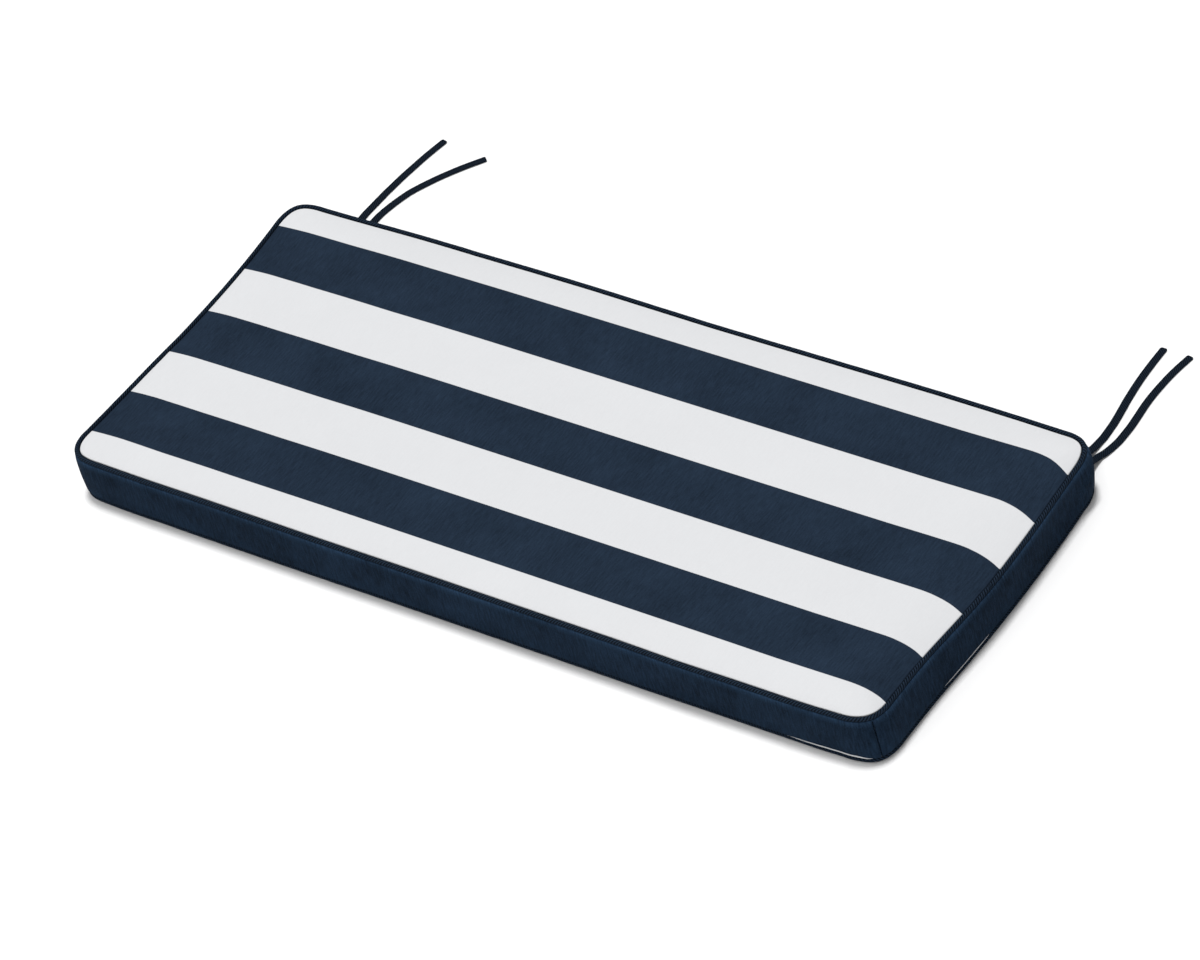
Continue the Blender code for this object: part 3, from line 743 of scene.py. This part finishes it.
# The flange of the cord's cover in the seam, out from the cord's centre and up, towards the panel's side.
FLANGE_INNER = [(-0.0056, -0.0016), (-0.0050, -0.0006), (-0.0040, -0.0005), (-0.0031, -0.0005)]
FLANGE_OUTER = [(-0.0014, -0.0034), (-0.0014, -0.0046), (-0.0026, -0.0052), (-0.0044, -0.0048),
                (-0.0058, -0.0030)]


def make_piping(name, node, seam_z, up, seed):
    """A covered cord with its flange tucked into the seam, swept round the seam line."""
    t = stations(0, PERIMETER, *PIPING_SPACING)[:-1]
    angles = np.radians(np.linspace(190, -110, 21))
    cord = [(CORD_VISIBLE_RADIUS * math.cos(a), CORD_VISIBLE_RADIUS * math.sin(a)) for a in angles]
    section = FLANGE_INNER + cord + FLANGE_OUTER
    lengths = np.cumsum([0] + [math.dist(a, b) for a, b in zip(section, section[1:])])
    rows, uv = [], []
    loose = wander(t, (37, 59, 83), seed) * COVER_LOOSENESS
    for (out, z), v in zip(section, lengths):
        visible = (out, z) in cord
        lift = CORD_LIFT if visible and up > 0 else 0
        shift = loose if visible else 0
        rows.append(off_seam(t, out + shift, seam_z + up * z + lift))
        uv.append(np.stack([t, np.full_like(t, v)], -1))
    faces = grid_faces(len(section), len(t), close_columns=True, close_rows=True)
    if up > 0:
        faces = [tuple(reversed(face)) for face in faces]
    piping = new_mesh(name, np.concatenate(rows), faces, piping_cloth, np.concatenate(uv))
    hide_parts(node)
    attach(piping, "root")


make_piping("welt_top", "piping_top", UPPER_SEAM_Z, 1, 31)
make_piping("welt_bottom", "piping_bottom", LOWER_SEAM_Z, -1, 32)


# Ties -----------------------------------------------------------------------------------------------------

REST_Z = 0.0011
# The way each tape lies, from its root at the back strip to its free end.
TAPE_ROUTES = {
    "tie_left_outer": [
        (-0.4990, 0.2220, 0.0120), (-0.4995, 0.2257, 0.0118), (-0.5012, 0.2320, 0.0086),
        (-0.5038, 0.2400, 0.0042), (-0.5051, 0.2479, 0.0018), (-0.5053, 0.2545, 0.0012),
        (-0.5053, 0.2610, REST_Z), (-0.5054, 0.2680, REST_Z), (-0.5059, 0.2781, REST_Z),
        (-0.5055, 0.2884, REST_Z), (-0.5052, 0.2980, REST_Z), (-0.5048, 0.3074, REST_Z),
        (-0.5044, 0.3169, REST_Z), (-0.5036, 0.3267, REST_Z), (-0.5022, 0.3441, REST_Z),
        (-0.5001, 0.3615, REST_Z), (-0.4965, 0.3870, REST_Z), (-0.4915, 0.4129, REST_Z),
    ],
    "tie_left_inner": [
        (-0.4840, 0.2221, 0.0120), (-0.4843, 0.2258, 0.0118), (-0.4851, 0.2320, 0.0086),
        (-0.4872, 0.2400, 0.0042), (-0.4882, 0.2475, 0.0018), (-0.4885, 0.2545, 0.0012),
        (-0.4886, 0.2615, REST_Z), (-0.4885, 0.2690, REST_Z), (-0.4883, 0.2792, REST_Z),
        (-0.4873, 0.2879, REST_Z), (-0.4852, 0.2989, REST_Z), (-0.4827, 0.3093, REST_Z),
        (-0.4798, 0.3191, REST_Z), (-0.4763, 0.3287, REST_Z), (-0.4673, 0.3459, REST_Z),
        (-0.4571, 0.3628, REST_Z), (-0.4426, 0.3835, REST_Z), (-0.4258, 0.4043, REST_Z),
    ],
    "tie_right_inner": [
        (0.4949, 0.2240, 0.0130), (0.4946, 0.2290, 0.0124), (0.4939, 0.2373, 0.0095),
        (0.4933, 0.2471, 0.0055), (0.4934, 0.2544, 0.0034), (0.4937, 0.2602, 0.0022),
        (0.4939, 0.2673, 0.0016), (0.4944, 0.2763, 0.0013), (0.4939, 0.2861, REST_Z),
        (0.4932, 0.2973, REST_Z), (0.4917, 0.3096, REST_Z), (0.4898, 0.3222, REST_Z),
        (0.4877, 0.3356, REST_Z), (0.4847, 0.3637, REST_Z), (0.4835, 0.3904, REST_Z),
        (0.4834, 0.4158, REST_Z),
    ],
    "tie_right_outer": [
        (0.5062, 0.2223, 0.0125), (0.5066, 0.2270, 0.0112), (0.5058, 0.2354, 0.0075),
        (0.5056, 0.2424, 0.0045), (0.5059, 0.2490, 0.0026), (0.5081, 0.2550, 0.0018),
        (0.5100, 0.2624, 0.0014), (0.5114, 0.2697, 0.0012), (0.5127, 0.2786, REST_Z),
        (0.5129, 0.2894, REST_Z), (0.5129, 0.3007, REST_Z), (0.5120, 0.3135, REST_Z),
        (0.5098, 0.3415, REST_Z), (0.5104, 0.3678, REST_Z), (0.5126, 0.3910, REST_Z),
        (0.5169, 0.4151, REST_Z),
    ],
}
TAPE_WIDTH, TAPE_THICKNESS = 0.0100, 0.0016
# The tape narrows from its stitched root to its tip: shares of its width.
ROOT_SHARE, TIP_SHARE, CUT_SHARE = 1.12, 0.90, 0.75
ROOT_RUN = 0.04
TIP_LENGTH = 0.0015
# How far it runs into the side strip, in shares of the first step of its route.
SEWN_IN = 1.2
# Half of its cross-section, in shares of half the width and half the thickness: woven edges, a flat middle.
TAPE_SECTION = [(-1, 0), (-0.97, 0.55), (-0.88, 0.9), (-0.8, 0.82), (-0.5, 0.95), (0, 1), (0.5, 0.95),
                (0.8, 0.82), (0.88, 0.9), (0.97, 0.55)]
ROUTE_STEPS, ROUTE_SPACING = 20, 0.0025


def arc_lengths(line):
    return np.concatenate([[0], np.cumsum(np.linalg.norm(np.diff(line, axis=0), axis=1))])


def through(points, spacing):
    """Evenly spaced places on a smooth curve through the points."""
    knots = [np.array(p, float) for p in points]
    knots = [2 * knots[0] - knots[1], *knots, 2 * knots[-1] - knots[-2]]
    fine = []
    for before, start, end, after in zip(knots, knots[1:], knots[2:], knots[3:]):
        for step in range(ROUTE_STEPS):
            s = step / ROUTE_STEPS
            fine.append((2 * start + (end - before) * s + (2 * before - 5 * start + 4 * end - after) * s * s
                         + (3 * start - before - 3 * end + after) * s ** 3) / 2)
    fine = np.array(fine + [knots[-2]])
    along = arc_lengths(fine)
    places = np.linspace(0, along[-1], round(along[-1] / spacing) + 1)
    return np.stack([np.interp(places, along, fine[:, k]) for k in range(3)], -1)


def make_tie(name, route):
    first, second = (Vector(p) for p in route[:2])
    root = first + (first - second) * SEWN_IN
    line = through([tuple(root)] + route, ROUTE_SPACING)
    line[:, 2] = np.maximum(line[:, 2], REST_Z)
    tip = line[-1] + (line[-1] - line[-2]) / np.linalg.norm(line[-1] - line[-2]) * TIP_LENGTH
    line = np.vstack([line, tip])
    ahead = np.gradient(line, axis=0)
    ahead /= np.linalg.norm(ahead, axis=1)[:, None]
    side = np.cross(ahead, [0, 0, 1])
    side /= np.linalg.norm(side, axis=1)[:, None]
    face = np.cross(side, ahead)
    along = arc_lengths(line)
    half_w, half_t = TAPE_WIDTH / 2, TAPE_THICKNESS / 2
    section = TAPE_SECTION + [(1, 0)] + [(-a, -b) for a, b in TAPE_SECTION[1:]]
    width = np.interp(along, [0, ROOT_RUN, along[-1]], [ROOT_SHARE, 1.0, TIP_SHARE])
    width[-1] *= CUT_SHARE
    rows, uv = [], []
    for a, b in section:
        rows.append(line + side * (a * half_w * width)[:, None] + face * (b * half_t))
        uv.append(np.stack([along, a * half_w * width], -1))
    count, length = len(section), len(line)
    faces = grid_faces(count, length, close_rows=True)
    faces.append(tuple(r * length for r in range(count)))
    faces.append(tuple(r * length + length - 1 for r in reversed(range(count))))
    tie = new_mesh(name.replace("tie_", "tape_"), np.concatenate(rows), faces, trim_cloth, np.concatenate(uv))
    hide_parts(name)
    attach(tie, "root")


for name, route in TAPE_ROUTES.items():
    make_tie(name, route)


# Stage, light and camera ----------------------------------------------------------------------------------

# The room is lit evenly but for a slow change, brighter towards one side.
ROOM_LIGHT, ROOM_CHANGE = 0.58, 0.7
ROOM_BRIGHTER = (-0.50, -0.87, 0.0)
OVERHEAD_DIRECTION, OVERHEAD_SPREAD, OVERHEAD_LIGHT = (0.03, -0.13, -1), 12, 0.69
FLOOR_SIZE, FLOOR_Z = 30, -0.0002
FLOOR_WHITE = (0.96, 0.96, 0.96, 1)
# The camera: its focal length in pixels of a picture of this width, and how it stands towards its target.
FOCAL_PIXELS, PICTURE_WIDTH, SENSOR_WIDTH = 6508.8, 1200, 36
CAMERA_RIGHT = Vector((0.79507441, 0.56087141, -0.23082446))
CAMERA_UP = Vector((-0.2568668, 0.65614752, 0.70957021))
CAMERA_BACK = Vector((0.54943255, -0.50486997, 0.66575535))
CAMERA_TARGET = Vector((0.0137, 0.0199, 0)) - Vector(CENTRE)
CAMERA_DISTANCE, CAMERA_SHIFT = 6.9714, 0.00054


def make_floor():
    floor_material = bpy.data.materials.new("studio_floor")
    floor_material.use_nodes = True
    shader = floor_material.node_tree.nodes["Principled BSDF"]
    shader.inputs["Base Color"].default_value = FLOOR_WHITE
    shader.inputs["Roughness"].default_value = 0.9
    shader.inputs["Specular IOR Level"].default_value = 0.1
    corners = [(x * FLOOR_SIZE, y * FLOOR_SIZE, FLOOR_Z) for x, y in ((-1, -1), (1, -1), (1, 1), (-1, 1))]
    floor = new_mesh("floor", corners, [(0, 1, 2, 3)], floor_material)


def soft_sun(name, direction, spread, light):
    """A large distant light that shines along the direction, and gives light 1 to a facing white surface."""
    data = bpy.data.lights.new(name, "SUN")
    data.angle = math.radians(spread)
    data.energy = light * math.pi
    lamp = bpy.data.objects.new(name, data)
    bpy.context.scene.collection.objects.link(lamp)
    lamp.rotation_euler = Vector(direction).to_track_quat("-Z", "Y").to_euler()


def make_camera():
    data = bpy.data.cameras.new("camera")
    data.sensor_width = SENSOR_WIDTH
    data.lens = FOCAL_PIXELS / PICTURE_WIDTH * SENSOR_WIDTH
    data.clip_start, data.clip_end = 0.1, 100
    camera = bpy.data.objects.new("camera", data)
    bpy.context.scene.collection.objects.link(camera)
    right, up, back = CAMERA_RIGHT, CAMERA_UP, CAMERA_BACK
    place = CAMERA_TARGET + back * CAMERA_DISTANCE - right * CAMERA_SHIFT + up * CAMERA_SHIFT
    camera.matrix_world = Matrix((
        (right.x, up.x, back.x, place.x),
        (right.y, up.y, back.y, place.y),
        (right.z, up.z, back.z, place.z),
        (0, 0, 0, 1),
    ))
    bpy.context.scene.camera = camera


def make_world():
    world = bpy.data.worlds.new("studio")
    world.use_nodes = True
    background = world.node_tree.nodes["Background"]
    background.inputs["Color"].default_value = (1, 1, 1, 1)
    n = Nodes(world.node_tree)
    towards = n.add("ShaderNodeVectorMath", operation="DOT_PRODUCT")
    world.node_tree.links.new(n.add("ShaderNodeTexCoord").outputs["Generated"], towards.inputs[0])
    towards.inputs[1].default_value = ROOM_BRIGHTER
    strength = n.math("MULTIPLY_ADD", towards.outputs["Value"], ROOM_LIGHT * ROOM_CHANGE, ROOM_LIGHT)
    world.node_tree.links.new(strength, background.inputs["Strength"])
    bpy.context.scene.world = world


make_floor()
make_world()
soft_sun("overhead", OVERHEAD_DIRECTION, OVERHEAD_SPREAD, OVERHEAD_LIGHT)
make_camera()
scene = bpy.context.scene
scene.view_settings.view_transform = "Standard"
scene.view_settings.look = "None"
scene.view_settings.exposure = 0
scene.view_settings.gamma = 1
